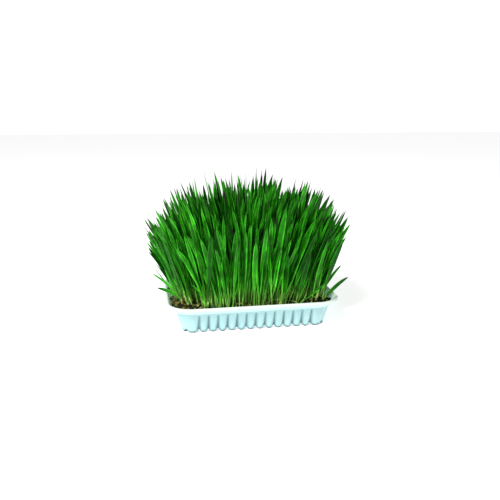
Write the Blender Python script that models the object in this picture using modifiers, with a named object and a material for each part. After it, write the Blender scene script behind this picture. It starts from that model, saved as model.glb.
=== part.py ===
"""Wheatgrass growing in a shallow fluted plastic tray.

The tray is a thin formed shell that stands on its flat floor, with ribs down its walls and a flared
rim. A bed of soil fills it. Tufts of seedlings stand in plain holes in the soil: each tuft is a crown
of seeds and roots with its blades fused to it. The blades fan out from the middle of the bed, their
tips fill a low dome, and no blade touches another.

Units are metres, +Z is up, X runs along the tray and -Y is its front. The origin is the middle of the
floor's underside, on the surface that the tray stands on.
"""

import math
import random

import bmesh
import bpy
from mathutils import Matrix, Vector
from mathutils.bvhtree import BVHTree

# Tray: the ribs set its size, and each rim is given by how far it stands out from the foot.
RIB_PITCH = 0.0105
LONG_RIBS = 12
SHORT_RIBS = 7
CORNER_RUN = 0.0185  # from the last groove to the end of the wall
# A rib's outline: each point's share of the pitch, and its share of the groove's depth.
FLUTE_SHAPE = ((0.0, 1.0), (0.22, 0.22), (0.50, 0.0), (0.78, 0.22))
FLUTE_DEPTH = 0.0038
FLUTE_FOOT_SHARE = 0.80  # of a groove's depth that is left at the floor
SHELL = 0.0009
FOOT_INSET = 0.0026
FOOT_ROUND_Z = 0.0026
FOOT_NOTCH = 0.0024  # how high a groove ends above the floor
FLUTE_FADE_Z = 0.0205
FLUTE_FADE_SHARE = 0.85  # of a groove's depth that is left at that height
WALL_TOP_Z = 0.0228
WALL_FLARE = 0.0058
RIM_Z = 0.0315
RIM_FLARE = 0.0136
LIP_Z = 0.0300
LIP_FLARE = 0.0146
FOOT_CORNER = 0.0145
WALL_CORNER = 0.0185
RIM_CORNER = 0.0265
CORNER_STEPS = 4
# A raised bead in the floor, as distances in from the foot, stiffens it.
BEAD_RISE = 0.0012
BEAD_CORNER = 0.004
BEAD_INSETS = (0.0105, 0.0142, 0.0180)  # its outer foot, its ridge and its inner foot

# Soil
GAP = 0.0004  # between the soil and the tray
SOIL_EDGE_Z = 0.0262
SOIL_CROWN = 0.0016  # how much higher the middle of the bed is than its edge
SOIL_LUMP = 0.0007
LUMP_TURNS_X = 173.0  # radians a metre
LUMP_TURNS_Y = 211.0
LUMP_TURNS_ACROSS = 109.0
SOIL_RINGS = (0.72, 0.36)  # each a share of the way out to the bed's edge

# Tufts
TUFT_SPACING_X = 0.0206
TUFT_ROWS = 6
TUFT_ROW_SPACING = 0.0188
TUFTS_IN_ROW = (8, 7)
TUFT_JITTER = 0.0005
CROWN_RADIUS = 0.0090
CROWN_FOOT_RADIUS = 0.0064
CROWN_SIDES = 6
CROWN_RISE = 0.0004
CROWN_DEPTH = 0.0048
HOLE_GAP = 0.0005
CUTTER_TOP = 0.0030  # above the soil, clear of its lumps
BLADES_IN_TUFT = 8
ROOT_SPREAD = 0.0062
ROOT_SINK = 0.0024

# Blades: stations from root to tip, as (share of length, share of width, thickness).
STATIONS = (
    (0.00, 0.36, 0.0014),
    (0.17, 0.42, 0.0013),
    (0.44, 1.00, 0.0011),
    (0.77, 0.84, 0.0009),
)
BLADE_WIDTH = (0.0045, 0.0082)
INNER_LENGTH = (0.108, 0.168, 0.130)  # least, most and most common
EDGE_LENGTH = (0.066, 0.122, 0.096)
EDGE_BAND = 0.34  # share of the bed, from its edge in, where blades are shorter
FAN_LEFT = 0.34  # lean at the left end of the bed, in radians
FAN_RIGHT = 0.30  # lean at its right end
FAN_WIDE = 0.25  # lean at its front and back
# The tips fill a low dome: half its length, half its width and its height, above an upright foot.
DOME = (0.130, 0.098, 0.088)
DOME_FOOT_Z = 0.085
DOME_RAGGED = 0.11  # how far past the dome the longest tips reach, as a share of it
LEAN_SPREAD = 0.085
ARCH = (0.03, 0.30)  # how much further a blade leans at its tip, in radians
TWIST = 0.7  # most that a blade turns round its own length, in radians
STRAY_EDGE = 0.5  # how near to the bed's edge a blade must be to stray
STRAY_SHARE = 0.12  # of those blades, the part that hang out low and short
STRAY_LEAN = (0.30, 0.55)
STRAY_LENGTH = (0.042, 0.064)
BLADE_CLEARANCE = 0.0004
TRIES = 160
SPIRAL = math.radians(137.5)  # turn from one blade's root to the next in a tuft
SEED = 11

GREEN = (0.055, 0.300, 0.020, 1.0)
WHITE = (0.80, 0.90, 0.90, 1.0)
BROWN = (0.085, 0.050, 0.022, 1.0)


def clear_scene():
    for obj in list(bpy.data.objects):
        bpy.data.objects.remove(obj, do_unlink=True)


def collection(name):
    made = bpy.data.collections.new(name)
    bpy.context.scene.collection.children.link(made)
    return made


def finish(name, colour, roughness):
    made = bpy.data.materials.new(name)
    made.use_nodes = True
    shader = made.node_tree.nodes["Principled BSDF"]
    shader.inputs["Base Color"].default_value = colour
    shader.inputs["Roughness"].default_value = roughness
    shader.inputs["Metallic"].default_value = 0.0
    return made


def new_object(name, bm, group, material=None, parent=None):
    mesh = bpy.data.meshes.new(name)
    bm.to_mesh(mesh)
    bm.free()
    obj = bpy.data.objects.new(name, mesh)
    group.objects.link(obj)
    if material:
        mesh.materials.append(material)
    obj.parent = parent
    return obj


def half_sizes(flare):
    """Half the length and half the width of the outline that stands out by flare from the foot."""
    half_long = LONG_RIBS / 2 * RIB_PITCH + CORNER_RUN + flare
    half_wide = SHORT_RIBS / 2 * RIB_PITCH + CORNER_RUN + flare
    return half_long, half_wide


def outline(z, flare, corner, corner_steps, long_side, short_side):
    """A closed outline at height z, counter-clockwise from above.

    A side's points are (place along it, distance in from its line, lift above z)."""
    half_long, half_wide = half_sizes(flare)
    sides = ((half_long, half_wide, long_side), (half_wide, half_long, short_side))
    ring = []
    for quarter in range(4):
        along, out, points = sides[quarter % 2]
        turn = Matrix.Rotation(quarter * math.pi / 2, 3, "Z")
        for place, inward, lift in points:
            ring.append(turn @ Vector((place, -(out - inward), z + lift)))
        for step in range(corner_steps + 1):
            angle = -math.pi / 2 + step / corner_steps * math.pi / 2
            arc = Vector((math.cos(angle), math.sin(angle), 0.0)) * corner
            ring.append(turn @ (Vector((along - corner, -(out - corner), z)) + arc))
    return ring


def flute_side(ribs, depth, notch):
    """One side's points from its first groove to its last: groove, shoulder, crown, shoulder."""
    points = []
    for i in range(-1, ribs + 1):
        for share, deep in FLUTE_SHAPE:
            place = (i + share - ribs / 2) * RIB_PITCH
            points.append((place, deep * depth, deep * notch))
    # The corners' own walls take the place of the first three points and the last two.
    return points[3:-2]


def fluted_ring(z, flare, corner, depth, notch=0.0):
    """An outline with grooves of this depth in its sides. In the grooves, it is higher by notch."""
    sides = [flute_side(ribs, depth, notch) for ribs in (LONG_RIBS, SHORT_RIBS)]
    return outline(z, flare, corner, CORNER_STEPS, *sides)


def pitch_ring(z, flare, corner):
    """A smooth outline with a point at each groove, to go between a fluted one and a plain one."""
    sides = []
    for ribs in (LONG_RIBS, SHORT_RIBS):
        sides.append([((i - ribs / 2) * RIB_PITCH, 0.0, 0.0) for i in range(ribs + 1)])
    return outline(z, flare, corner, CORNER_STEPS, *sides)


def plain_ring(z, flare, corner):
    """A rounded rectangle with few points."""
    middle = [(0.0, 0.0, 0.0)]
    return outline(z, flare, corner, CORNER_STEPS, middle, middle)


def loft(rings, close_first, close_last):
    """A skin through the rings, one bridge for each pair. The rings may have unlike numbers of points.

    Neighbours differ in height, because a bridge between two level rings can cross over the middle."""
    bm = bmesh.new()
    loops = []
    for ring in rings:
        verts = [bm.verts.new(p) for p in ring]
        loops.append([bm.edges.new((verts[i - 1], verts[i])) for i in range(len(verts))])
    for one, other in zip(loops, loops[1:]):
        bmesh.ops.bridge_loops(bm, edges=one + other)
    if close_first:
        bmesh.ops.contextual_create(bm, geom=loops[0])
    if close_last:
        bmesh.ops.contextual_create(bm, geom=loops[-1])
    bmesh.ops.recalc_face_normals(bm, faces=bm.faces)
    return bm


def face_down(bm):
    """Turns an open shell inside out if its floor doesn't face down."""
    floor = min(bm.faces, key=lambda face: face.calc_center_median().length)
    if floor.normal.z > 0:
        bmesh.ops.reverse_faces(bm, faces=bm.faces)


def bead_flare(index):
    return -FOOT_INSET - BEAD_INSETS[index]


def flute_fade():
    """How far the wall stands out where its grooves begin to fade, and how deep they are there."""
    return WALL_FLARE * FLUTE_FADE_Z / WALL_TOP_Z, FLUTE_DEPTH * FLUTE_FADE_SHARE


def make_tray(group, material, parent):
    """The outside of the shell as a loft from the floor's middle to the lip, then its thickness."""
    fade_flare, fade_depth = flute_fade()
    rings = [
        plain_ring(0.0, bead_flare(2), BEAD_CORNER),
        plain_ring(BEAD_RISE, bead_flare(1), BEAD_CORNER),
        pitch_ring(0.0, bead_flare(0), BEAD_CORNER),
        fluted_ring(0.0, -FOOT_INSET, FOOT_CORNER - FOOT_INSET, FLUTE_DEPTH * FLUTE_FOOT_SHARE, FOOT_NOTCH),
        fluted_ring(FOOT_ROUND_Z, 0.0, FOOT_CORNER, FLUTE_DEPTH, FOOT_NOTCH / 2),
        fluted_ring(FLUTE_FADE_Z, fade_flare, WALL_CORNER, fade_depth),
        pitch_ring(WALL_TOP_Z, WALL_FLARE, WALL_CORNER),
        plain_ring(RIM_Z, RIM_FLARE, RIM_CORNER),
        plain_ring(LIP_Z, LIP_FLARE, RIM_CORNER),
    ]
    bm = loft(rings, close_first=True, close_last=False)
    face_down(bm)
    tray = new_object("tray", bm, group, material, parent)
    shell = tray.modifiers.new("shell", "SOLIDIFY")
    shell.thickness = SHELL
    shell.offset = -1.0
    shell.use_even_offset = False
    tray.data.shade_smooth()
    tray.data.set_sharp_from_angle(angle=math.radians(35))
    return tray


def soil_height(x, y):
    """The bed's surface: a little higher in the middle, with soft lumps."""
    half_long, half_wide = half_sizes(WALL_FLARE)
    middle = (1 - (x / half_long) ** 2) * (1 - (y / half_wide) ** 2)
    lumps = math.sin(x * LUMP_TURNS_X) * math.sin(y * LUMP_TURNS_Y)
    lumps += 0.6 * math.sin((x - y) * LUMP_TURNS_ACROSS)
    return SOIL_EDGE_Z + (SOIL_CROWN + SOIL_LUMP * lumps) * max(0.0, middle)


def make_soil(group, cutters, material, parent):
    """A block that fills the tray inside its grooves, with a lumpy top and one hole for each tuft."""
    side = SHELL + GAP
    clear = FLUTE_DEPTH + side
    corner = FOOT_CORNER - FLUTE_DEPTH
    floor_z = SHELL + GAP
    fade_flare, fade_depth = flute_fade()
    # The bed's edge lies inside the flare, which slopes, so it stands back further than on an upright wall.
    up_flare = (SOIL_EDGE_Z - WALL_TOP_Z) / (RIM_Z - WALL_TOP_Z)
    edge_flare = WALL_FLARE + up_flare * (RIM_FLARE - WALL_FLARE) - 2 * side
    bed_edge = plain_ring(SOIL_EDGE_Z, edge_flare, WALL_CORNER + side)
    rings = [
        plain_ring(floor_z, bead_flare(2) - GAP, BEAD_CORNER),
        plain_ring(floor_z + BEAD_RISE, bead_flare(1), BEAD_CORNER),
        plain_ring(floor_z, bead_flare(0) + GAP, BEAD_CORNER),
        plain_ring(floor_z + FOOT_ROUND_Z + GAP, -clear - GAP, corner),
        plain_ring(FLUTE_FADE_Z, fade_flare - fade_depth - side - GAP, WALL_CORNER - side),
        plain_ring(WALL_TOP_Z, WALL_FLARE - 2 * side, WALL_CORNER - side),
        bed_edge,
    ]
    for share in SOIL_RINGS:
        inner = [p * share for p in bed_edge]
        rings.append([Vector((p.x, p.y, soil_height(p.x, p.y))) for p in inner])
    bm = loft(rings, close_first=True, close_last=True)
    bmesh.ops.triangulate(bm, faces=bm.faces)
    soil = new_object("soil", bm, group, material, parent)
    holes = soil.modifiers.new("holes", "BOOLEAN")
    holes.operation = "DIFFERENCE"
    holes.operand_type = "COLLECTION"
    holes.collection = cutters
    holes.solver = "EXACT"
    return soil


def tuft_places():
    """The tufts' middles: six rows, set off from each other as bricks are, a little uneven."""
    draw = random.Random(SEED)
    places = []
    for row in range(TUFT_ROWS):
        count = TUFTS_IN_ROW[row % 2]
        for i in range(count):
            x = (i - (count - 1) / 2) * TUFT_SPACING_X + draw.uniform(-TUFT_JITTER, TUFT_JITTER)
            y = (row - (TUFT_ROWS - 1) / 2) * TUFT_ROW_SPACING + draw.uniform(-TUFT_JITTER, TUFT_JITTER)
            places.append(Vector((x, y, soil_height(x, y))))
    return places


def upright_plug(gap, low, high, place):
    """A tapered plug, narrower at its foot. gap makes it wider, as its hole is."""
    bm = bmesh.new()
    slope = (CROWN_RADIUS - CROWN_FOOT_RADIUS) / (CROWN_RISE + CROWN_DEPTH)
    bmesh.ops.create_cone(
        bm,
        cap_ends=True,
        segments=CROWN_SIDES,
        radius1=CROWN_FOOT_RADIUS + slope * (low + CROWN_DEPTH) + gap,
        radius2=CROWN_RADIUS + slope * (high - CROWN_RISE) + gap,
        depth=high - low,
        matrix=Matrix.Translation((place.x, place.y, place.z + (low + high) / 2)),
    )
    return bm


def make_hole_cutters(places, cutters):
    for number, place in enumerate(places, 1):
        bm = upright_plug(HOLE_GAP, -CROWN_DEPTH - HOLE_GAP, CUTTER_TOP, place)
        cutter = new_object(f"hole_{number:02d}", bm, cutters)
        cutter.hide_render = True
        cutter.display_type = "WIRE"


def lean_at(x, y):
    """How far, and which way, blades that grow at (x, y) lean: out from the middle of the bed."""
    half_long, half_wide = half_sizes(0.0)
    fan_long = FAN_LEFT if x < 0 else FAN_RIGHT
    return Vector((fan_long * x / half_long, FAN_WIDE * y / half_wide))


def edge_share(x, y):
    """0 well inside the bed, rising to 1 at its edge."""
    half_long, half_wide = half_sizes(0.0)
    nearest = min(1 - abs(x) / half_long, 1 - abs(y) / half_wide)
    return max(0.0, 1 - nearest / EDGE_BAND)


def is_stray(draw, x, y):
    """Whether the blade that grows here hangs out low and short. Only some near the bed's edge do."""
    return edge_share(x, y) > STRAY_EDGE and draw.random() < STRAY_SHARE


def draw_blade(draw, x, y, stray):
    """One blade's random choices."""
    lean = lean_at(x, y)
    lean += Vector((draw.gauss(0, LEAN_SPREAD), draw.gauss(0, LEAN_SPREAD)))
    edge = edge_share(x, y)
    inner = draw.triangular(*INNER_LENGTH)
    outer = draw.triangular(*EDGE_LENGTH)
    length = inner + edge * (outer - inner)
    if stray:
        lean += lean.normalized() * draw.uniform(*STRAY_LEAN)
        length = draw.uniform(*STRAY_LENGTH)
    return {
        "lean": lean.length,
        "heading": math.atan2(lean.y, lean.x),
        "arch": draw.uniform(*ARCH),
        "length": length,
        "width": draw.uniform(*BLADE_WIDTH),
        "facing": draw.uniform(0, 2 * math.pi),
        "twist": draw.uniform(-TWIST, TWIST),
    }


def direction(blade, heading, share):
    """Which way a blade runs at this share of its length: it leans, and then arches over."""
    angle = blade["lean"] + blade["arch"] * share**2
    return heading * math.sin(angle) + Vector((0.0, 0.0, math.cos(angle)))


def blade_mesh(root, blade, extra=0.0):
    """A keeled blade: a flat face, a ridge behind it and a pointed tip. extra makes it thicker all round."""
    bm = bmesh.new()
    heading = Vector((math.cos(blade["heading"]), math.sin(blade["heading"]), 0.0))
    point = root.copy()
    before = 0.0
    loops = []
    for share, wide, thick in STATIONS:
        along = direction(blade, heading, (before + share) / 2)
        point = point + along * blade["length"] * (share - before)
        before = share
        turn = blade["facing"] + blade["twist"] * share
        level = Vector((math.cos(turn), math.sin(turn), 0.0))
        side = (level - along * level.dot(along)).normalized()
        back = side.cross(along)
        half = blade["width"] * wide / 2 + extra
        face = point - back * extra
        corners = (face - side * half, face + side * half, point + back * (thick + extra))
        verts = [bm.verts.new(corner) for corner in corners]
        loops.append([bm.edges.new((verts[i - 1], verts[i])) for i in range(3)])
    along = direction(blade, heading, (before + 1) / 2)
    tip = bm.verts.new(point + along * (blade["length"] * (1 - before) + extra))
    for one, other in zip(loops, loops[1:]):
        bmesh.ops.bridge_loops(bm, edges=one + other)
    bmesh.ops.contextual_create(bm, geom=loops[0])
    for edge in loops[-1]:
        bm.faces.new((edge.verts[0], edge.verts[1], tip))
    bmesh.ops.recalc_face_normals(bm, faces=bm.faces)
    bmesh.ops.triangulate(bm, faces=bm.faces)
    return bm


def dome_share(tip):
    """How far out a tip is, as a share of the way to the dome."""
    above = max(0.0, tip.z - DOME_FOOT_Z)
    return Vector((tip.x / DOME[0], tip.y / DOME[1], above / DOME[2])).length


def root_places(number, place):
    """Where a tuft's blades stand on its crown: a spiral, so that they are evenly spread."""
    for k in range(BLADES_IN_TUFT):
        radius = ROOT_SPREAD * math.sqrt((k + 0.4) / BLADES_IN_TUFT)
        angle = k * SPIRAL + number
        yield place + Vector((radius * math.cos(angle), radius * math.sin(angle), CROWN_RISE - ROOT_SINK))


def grow_blades(places, holders):
    """Draws each tuft's blades. A blade is drawn again until it is clear of the others and of the holders,
    with its tip in the dome or a little past it."""
    draw = random.Random(SEED)
    graph = bpy.context.evaluated_depsgraph_get()
    standing = [BVHTree.FromObject(holder, graph) for holder in holders]
    tufts = []
    for number, place in enumerate(places):
        blades = []
        for root in root_places(number, place):
            reach = 1 + DOME_RAGGED * draw.random() ** 3
            stray = is_stray(draw, root.x, root.y)
            for _ in range(TRIES):
                blade = draw_blade(draw, root.x, root.y, stray)
                wide = blade_mesh(root, blade, BLADE_CLEARANCE)
                bm = blade_mesh(root, blade)
                tip = max((vert.co for vert in bm.verts), key=lambda co: co.z)
                outside = dome_share(tip) > reach
                # A twisted blade's sides can be split another way than the wider copy's, so both are tested.
                trees = (BVHTree.FromBMesh(wide), BVHTree.FromBMesh(bm))
                wide.free()
                if outside or any(other.overlap(tree) for other in standing for tree in trees):
                    bm.free()
                    continue
                standing.append(trees[1])
                blades.append(bm)
                break
        tufts.append(blades)
    return tufts


def make_tuft(number, place, blades, group, material, parent):
    """The crown with its blades joined to it by one union."""
    name = f"sprouts_{number:02d}"
    loose = collection(f"blades_{number:02d}")
    for k, bm in enumerate(blades):
        new_object(f"blade_{number:02d}_{k}", bm, loose)
    bm = upright_plug(0.0, -CROWN_DEPTH, CROWN_RISE, place)
    tuft = new_object(name, bm, group, material, parent)
    union = tuft.modifiers.new("union", "BOOLEAN")
    union.operation = "UNION"
    union.operand_type = "COLLECTION"
    union.collection = loose
    union.solver = "EXACT"
    graph = bpy.context.evaluated_depsgraph_get()
    joined = bpy.data.meshes.new_from_object(tuft.evaluated_get(graph))
    tuft.modifiers.clear()
    tuft.data = joined
    joined.materials.clear()
    joined.materials.append(material)
    for obj in list(loose.objects):
        bpy.data.objects.remove(obj, do_unlink=True)
    bpy.data.collections.remove(loose)
    return tuft


def main():
    clear_scene()
    group = collection("wheatgrass_tray")
    cutters = collection("cutters")
    cutters.hide_render = True
    stand = bpy.data.objects.new("wheatgrass_tray", None)
    group.objects.link(stand)

    tray = make_tray(group, finish("white_plastic", WHITE, 0.35), stand)
    places = tuft_places()
    make_hole_cutters(places, cutters)
    soil = make_soil(group, cutters, finish("soil", BROWN, 0.95), stand)
    green = finish("leaf_green", GREEN, 0.5)
    tufts = grow_blades(places, (tray, soil))
    for number, (place, blades) in enumerate(zip(places, tufts), 1):
        make_tuft(number, place, blades, group, green, stand)
    print(sum(len(blades) for blades in tufts), "blades in", len(tufts), "tufts")


main()
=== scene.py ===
# %% [markdown]
# # A tray of wheatgrass
# This lesson dresses a plain model of wheatgrass that grows in a shallow plastic tray. The plain model
# already has the right sizes: a fluted tray, a bed of soil, and 45 tufts with a few hundred blades. Here
# each of them is replaced by a finer piece of the same form. Then come the things that are too small for
# the plain model: seeds, crumbs of soil, fine roots, and the many thinner seedlings between the blades.
# Lengths are in metres, X runs along the tray, and -Y is its front.

# %% Load the plain model
import math
import random

import bmesh
import bpy
from mathutils import Euler, Matrix, Quaternion, Vector, noise


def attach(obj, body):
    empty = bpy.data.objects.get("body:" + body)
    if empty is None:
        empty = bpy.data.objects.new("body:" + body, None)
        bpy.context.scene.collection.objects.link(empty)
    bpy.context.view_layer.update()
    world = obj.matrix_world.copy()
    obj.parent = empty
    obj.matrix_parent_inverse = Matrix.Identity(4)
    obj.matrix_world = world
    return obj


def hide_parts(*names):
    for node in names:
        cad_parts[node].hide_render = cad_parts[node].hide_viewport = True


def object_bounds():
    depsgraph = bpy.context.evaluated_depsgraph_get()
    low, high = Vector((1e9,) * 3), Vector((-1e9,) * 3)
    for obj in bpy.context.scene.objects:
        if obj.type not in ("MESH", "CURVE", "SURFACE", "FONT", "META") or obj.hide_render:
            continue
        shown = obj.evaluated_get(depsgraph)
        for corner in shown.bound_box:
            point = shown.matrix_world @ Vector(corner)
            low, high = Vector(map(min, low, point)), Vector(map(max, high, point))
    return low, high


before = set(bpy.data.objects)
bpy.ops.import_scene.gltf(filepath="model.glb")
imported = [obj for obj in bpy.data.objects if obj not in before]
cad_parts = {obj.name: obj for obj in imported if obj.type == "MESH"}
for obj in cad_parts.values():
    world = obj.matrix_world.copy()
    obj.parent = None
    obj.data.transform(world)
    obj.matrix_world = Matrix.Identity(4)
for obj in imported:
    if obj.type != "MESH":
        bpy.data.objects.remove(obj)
cad_low, cad_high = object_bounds()
scene = bpy.context.scene
print("plain model:", len(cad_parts), "nodes, from", cad_low, "to", cad_high)

# %% [markdown]
# ## The camera
# The photograph looks down on the front of the tray a little, and from slightly left of its middle, so
# the left end of the tray is nearer. A camera's own axes are right, up and back. Two angles give them, and
# the three together make a rotation matrix. A constraint that tracks a point would also aim the camera, but
# the angles are what the photograph gives. The lens follows from how strongly the tray's long lines draw
# together.

# %% Place the camera
CAMERA_YAW = math.radians(10.1)
CAMERA_PITCH = math.radians(13.1)
CAMERA_DISTANCE = 0.718
CAMERA_RIGHT = 0.0033
CAMERA_UP = 0.0762
IMAGE_SIZE = 500
FOCAL_LENGTH_PX = 597
SENSOR_MM = 36.0

forward = Vector((
    math.sin(CAMERA_YAW) * math.cos(CAMERA_PITCH),
    math.cos(CAMERA_YAW) * math.cos(CAMERA_PITCH),
    -math.sin(CAMERA_PITCH),
))
right = Vector((math.cos(CAMERA_YAW), -math.sin(CAMERA_YAW), 0.0))
up = right.cross(forward)
camera_data = bpy.data.cameras.new("camera")
camera_data.sensor_width = SENSOR_MM
camera_data.lens = SENSOR_MM * FOCAL_LENGTH_PX / IMAGE_SIZE
camera = bpy.data.objects.new("camera", camera_data)
scene.collection.objects.link(camera)
axes = Matrix((right, up, -forward)).transposed().to_4x4()
place = right * CAMERA_RIGHT + up * CAMERA_UP - forward * CAMERA_DISTANCE
camera.matrix_world = Matrix.Translation(place) @ axes
scene.camera = camera
print("camera at", place, "with a lens of", round(camera_data.lens, 1), "mm")

# %% [markdown]
# ## The floor and the light
# The tray was photographed on plain white under soft light that comes mostly from the left. A bright sky
# all round gives the softness, and one large lamp high on the left gives each leaf a lit side and a
# shaded side. Many small lamps could do the same with more noise. The floor glows a little, as a light
# table does, which keeps its shadows faint.

# %% Make the floor
WHITE = (1.0, 1.0, 1.0, 1.0)
FLOOR_HALF = 6.0
FLOOR_COLOUR = (0.93, 0.93, 0.93, 1.0)
FLOOR_ROUGHNESS = 0.9
FLOOR_GLOW = 0.50

scene.view_settings.view_transform = "Standard"
scene.view_settings.look = "Medium High Contrast"

floor_bm = bmesh.new()
bmesh.ops.create_grid(floor_bm, x_segments=2, y_segments=2, size=FLOOR_HALF)
floor_mesh = bpy.data.meshes.new("floor")
floor_bm.to_mesh(floor_mesh)
floor_bm.free()
floor = bpy.data.objects.new("floor", floor_mesh)
scene.collection.objects.link(floor)
floor_paint = bpy.data.materials.new("floor_paint")
floor_paint.use_nodes = True
floor_shader = floor_paint.node_tree.nodes["Principled BSDF"]
floor_shader.inputs["Base Color"].default_value = FLOOR_COLOUR
floor_shader.inputs["Roughness"].default_value = FLOOR_ROUGHNESS
floor_shader.inputs["Emission Color"].default_value = WHITE
floor_shader.inputs["Emission Strength"].default_value = FLOOR_GLOW
floor_mesh.materials.append(floor_paint)
print("the floor is", 2 * FLOOR_HALF, "m wide")

# %% Light it
SKY_STRENGTH = 0.31  # as a light
SKY_SEEN = 1.05  # as the camera sees it behind the tray
KEY_PLACE = Vector((-0.85, -0.95, 1.25))
KEY_AIM = Vector((0.0, 0.0, 0.08))
KEY_SIZE = 0.55
KEY_POWER = 24.0

world = bpy.data.worlds.new("sky")
world.use_nodes = True
scene.world = world
sky = world.node_tree.nodes["Background"]
sky.inputs["Color"].default_value = WHITE
sight = world.node_tree.nodes.new("ShaderNodeLightPath")
strength = world.node_tree.nodes.new("ShaderNodeMapRange")
strength.inputs["To Min"].default_value = SKY_STRENGTH
strength.inputs["To Max"].default_value = SKY_SEEN
world.node_tree.links.new(sight.outputs["Is Camera Ray"], strength.inputs["Value"])
world.node_tree.links.new(strength.outputs["Result"], sky.inputs["Strength"])

key_data = bpy.data.lights.new("key", "AREA")
key_data.shape = "DISK"
key_data.size = KEY_SIZE
key_data.energy = KEY_POWER
key = bpy.data.objects.new("key", key_data)
scene.collection.objects.link(key)
key.location = KEY_PLACE
key.rotation_euler = (KEY_AIM - KEY_PLACE).to_track_quat("-Z", "Y").to_euler()
print("key lamp", round((KEY_AIM - KEY_PLACE).length, 2), "m away")

# %% [markdown]
# ## Helpers for pieces and finishes
# Every piece ends the same way: its bmesh becomes a mesh, the object gets a material, and it is set to
# ride on the plain model. Materials could be built by hand in the shader editor, but these are built from
# nodes by small functions, so that a finish reads like a recipe: start it, add noise, ramps and mixes, and
# link the results to the shader.

# %% Finish a piece
def finish_piece(name, bm, material, replaced=()):
    """Turns a bmesh into an object of the scene, shaded smooth, that stands for the replaced nodes."""
    mesh = bpy.data.meshes.new(name)
    bm.to_mesh(mesh)
    bm.free()
    piece = bpy.data.objects.new(name, mesh)
    scene.collection.objects.link(piece)
    mesh.shade_smooth()
    mesh.materials.append(material)
    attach(piece, "root")
    if replaced:
        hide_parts(*replaced)
    print(name, "has", len(mesh.polygons), "faces")
    return piece


# %% Add a node, a ramp or a mix
def add_node(tree, kind, inputs=None, **settings):
    """Adds a node. An input is a plain value, or another node's output to link to."""
    node = tree.nodes.new("ShaderNode" + kind)
    for key, value in settings.items():
        setattr(node, key, value)
    for socket, value in (inputs or {}).items():
        if isinstance(value, bpy.types.NodeSocket):
            tree.links.new(value, node.inputs[socket])
        else:
            node.inputs[socket].default_value = value
    return node


def add_ramp(tree, factor, stops):
    """A colour ramp. Each stop is a position and a colour."""
    ramp = add_node(tree, "ValToRGB", {"Fac": factor})
    elements = ramp.color_ramp.elements
    while len(elements) < len(stops):
        elements.new(0.5)
    for element, (position, colour) in zip(elements, stops):
        element.position = position
        element.color = (*colour, 1.0)
    return ramp.outputs["Color"]


def mix_colour(tree, factor, one, other, blend="MIX"):
    mix = add_node(tree, "Mix", {"Factor": factor}, data_type="RGBA", blend_type=blend)
    for socket, value in ((mix.inputs[6], one), (mix.inputs[7], other)):
        if isinstance(value, bpy.types.NodeSocket):
            tree.links.new(value, socket)
        else:
            socket.default_value = (*value, 1.0)
    return mix.outputs[2]


# %% The nodes that most finishes use
def noise_at(tree, where, scale, detail, roughness=0.5):
    inputs = {"Vector": where, "Scale": scale, "Detail": detail, "Roughness": roughness}
    return add_node(tree, "TexNoise", inputs).outputs["Fac"]


def map_range(tree, value, source=(0.0, 1.0), target=(0.0, 1.0)):
    """Maps a value from the source range onto the target range, and keeps it inside."""
    inputs = dict(zip(("From Min", "From Max", "To Min", "To Max"), (*source, *target)))
    return add_node(tree, "MapRange", {"Value": value, **inputs}).outputs["Result"]


def calculate(tree, operation, *values):
    return add_node(tree, "Math", dict(enumerate(values)), operation=operation).outputs["Value"]


def stretched(tree, where, scale):
    return add_node(tree, "Mapping", {"Vector": where, "Scale": scale}).outputs["Vector"]


def read_layer_value(tree, name):
    """What a piece's own points say under this name."""
    return add_node(tree, "Attribute", attribute_name=name).outputs["Fac"]


# %% Start and end a finish
def start_finish(name, specular):
    """A new material, its node tree, and the place on the piece in Object coordinates."""
    material = bpy.data.materials.new(name)
    material.use_nodes = True
    tree = material.node_tree
    tree.nodes["Principled BSDF"].inputs["Specular IOR Level"].default_value = specular
    return material, tree, add_node(tree, "TexCoord").outputs["Object"]


def end_finish(tree, colour, roughness, height, strength, distance):
    """Links the colour and the roughness to the shader, and a bump that follows the height."""
    bump = add_node(tree, "Bump", {"Height": height, "Strength": strength, "Distance": distance})
    shader = tree.nodes["Principled BSDF"]
    results = {"Base Color": colour, "Roughness": roughness, "Normal": bump.outputs["Normal"]}
    for socket, value in results.items():
        tree.links.new(value, shader.inputs[socket])


# %% [markdown]
# ## The tray
# The real tray is a thin sheet of white plastic, drawn warm over a mould. Its walls are pressed into
# rounded ribs with narrow grooves between them, because a folded wall is much stiffer than a flat one, and
# its rim flares out and rolls over. It could be lofted ring by ring, but here a flat grid is rolled
# into shape: one way across the grid becomes the way round the tray, and the other way becomes the
# profile from the floor's middle out to the lip. A formula then puts each point in its place.

# %% Sizes of the tray
RIB_PITCH = 0.0105
RIBS = (12, 7)  # on the long sides and on the short sides
CORNER_RUN = 0.0185
RIB_STEPS = 12
CORNER_STEPS = 30
BEAD_STEPS, FLOOR_STEPS, FOOT_STEPS, WALL_STEPS, TOP_STEPS = 6, 5, 5, 7, 5
FLARE_STEPS, LIP_STEPS = 7, 5
GROOVE_DEPTH = 0.0038
DEPTH_AT_FOOT = 0.80  # of a groove's full depth
DEPTH_AT_TOP = 0.85
GROOVE_SHARPNESS = (1.0, 2.4)  # at the foot, where a groove is wide, and at its top
FOOT_INSET = 0.0026
FOOT_NOTCH = 0.0036
NOTCH_REACH = 0.32  # from the middle of a notch in the foot to its end, as a share of the pitch
WALL_LOW = 0.0026
WALL_HIGH = 0.0182
WALL_TOP = 0.0228
WALL_FLARE = 0.0058
RIM_Z = 0.0315
RIM_FLARE = 0.0136
RIM_BOW = 0.0007
LIP_Z = 0.0300
LIP_FLARE = 0.0146
FOOT_CORNER, WALL_CORNER, RIM_CORNER = 0.0145, 0.0185, 0.0265
BEAD_INSETS = (0.0180, 0.0105)  # its inner and its outer foot
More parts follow.
